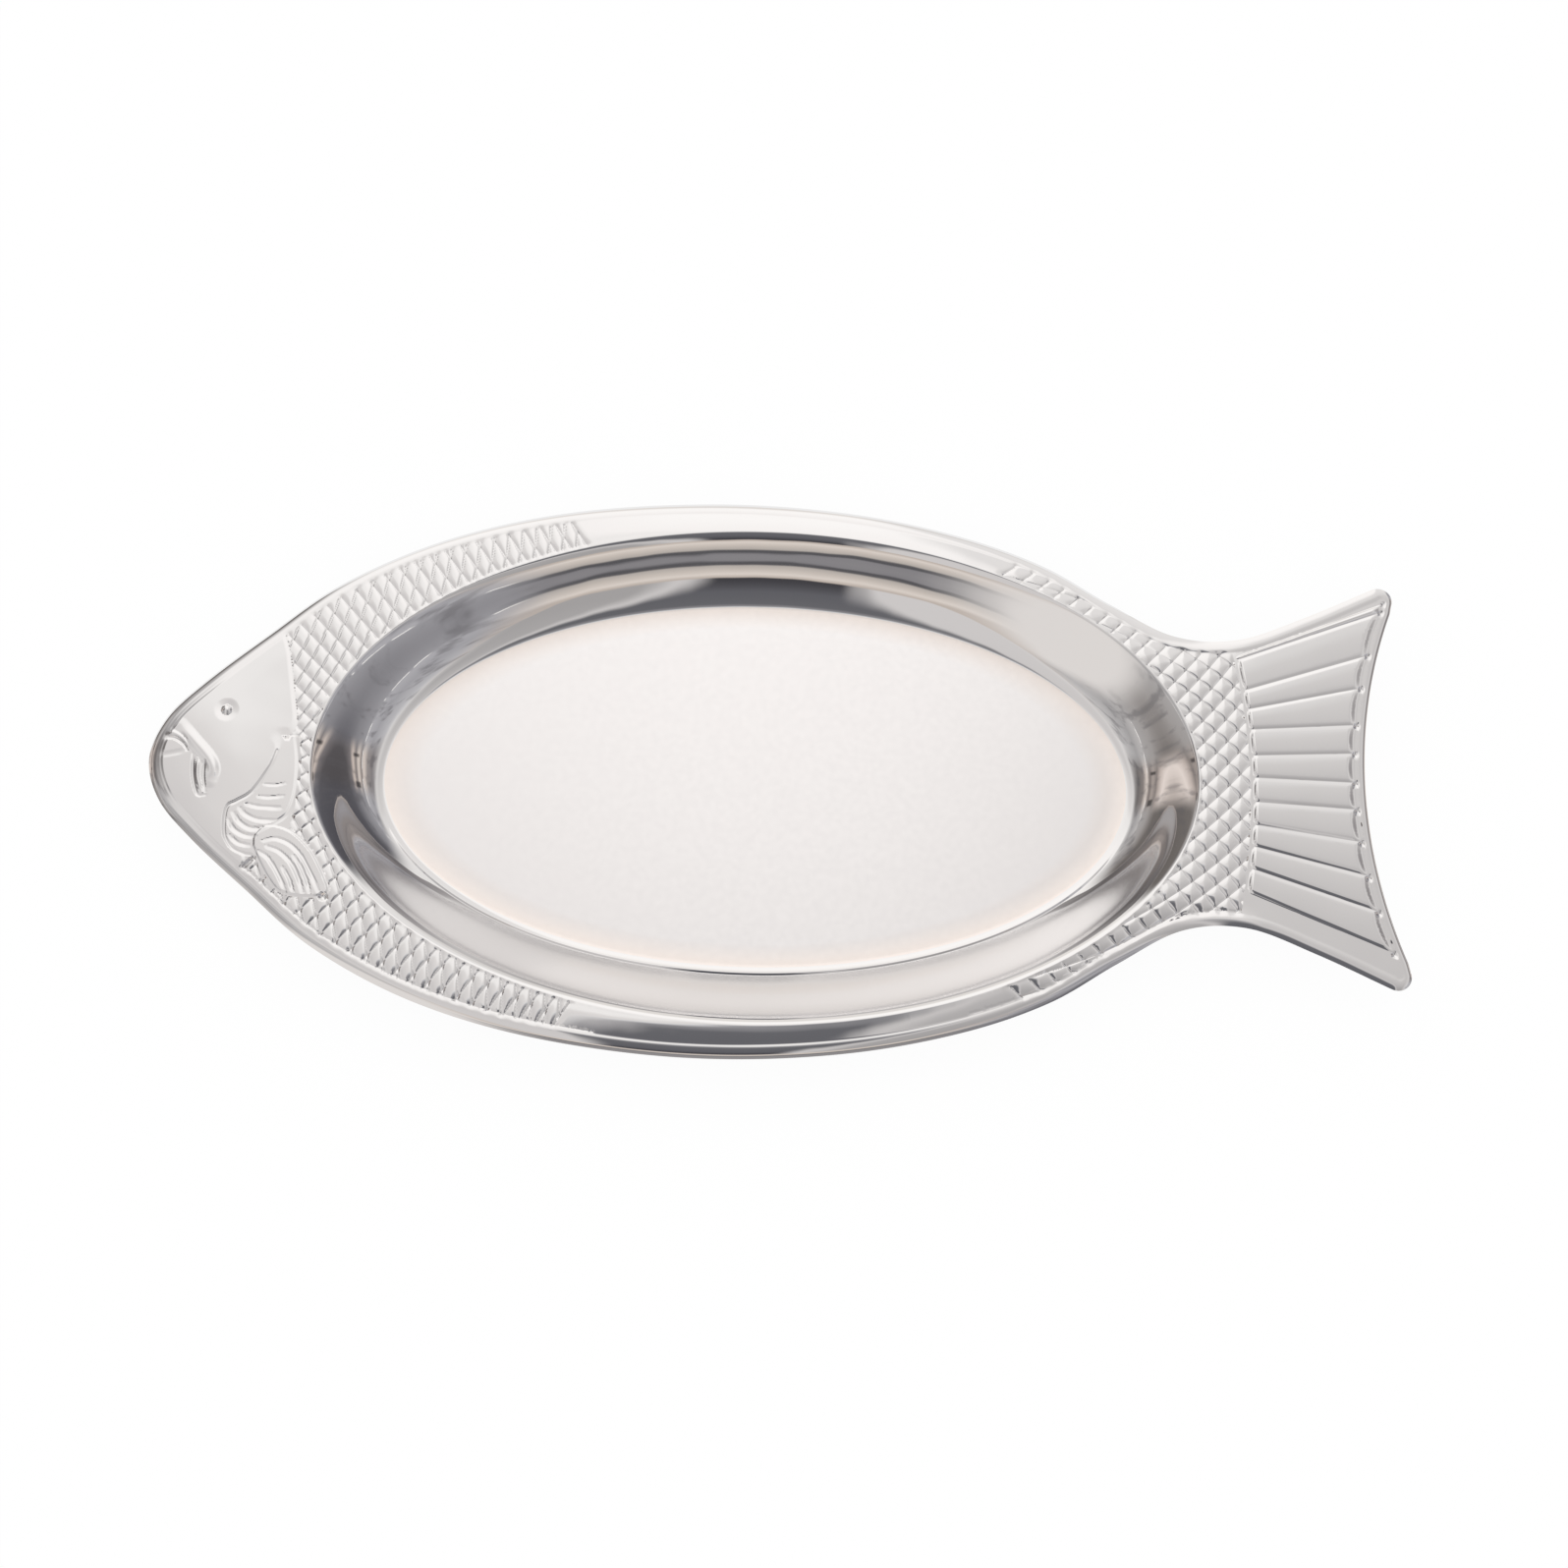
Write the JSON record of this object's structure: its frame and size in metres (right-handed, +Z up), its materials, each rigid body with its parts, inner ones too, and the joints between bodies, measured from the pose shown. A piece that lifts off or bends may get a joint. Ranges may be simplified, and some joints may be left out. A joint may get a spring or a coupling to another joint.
{
  "type": "fish shaped platter",
  "caption": "Fish-shaped serving platter pressed from one sheet of stainless steel, with an oval well, a rim embossed with scales, a plain head and a ribbed tail.",
  "frame": {"origin": "on the table plane, half way between the nose and the tail tips, on the fish's middle line", "axes": "+X from the nose to the tail, +Y towards the fish's back, +Z up out of the well"},
  "size_m": [0.45, 0.212, 0.0214],
  "materials": {
    "stainless_steel": "polished, with a satin well floor"
  },
  "bodies": {
    "root": {"platter": "stainless_steel"}
  },
  "joints": []
}
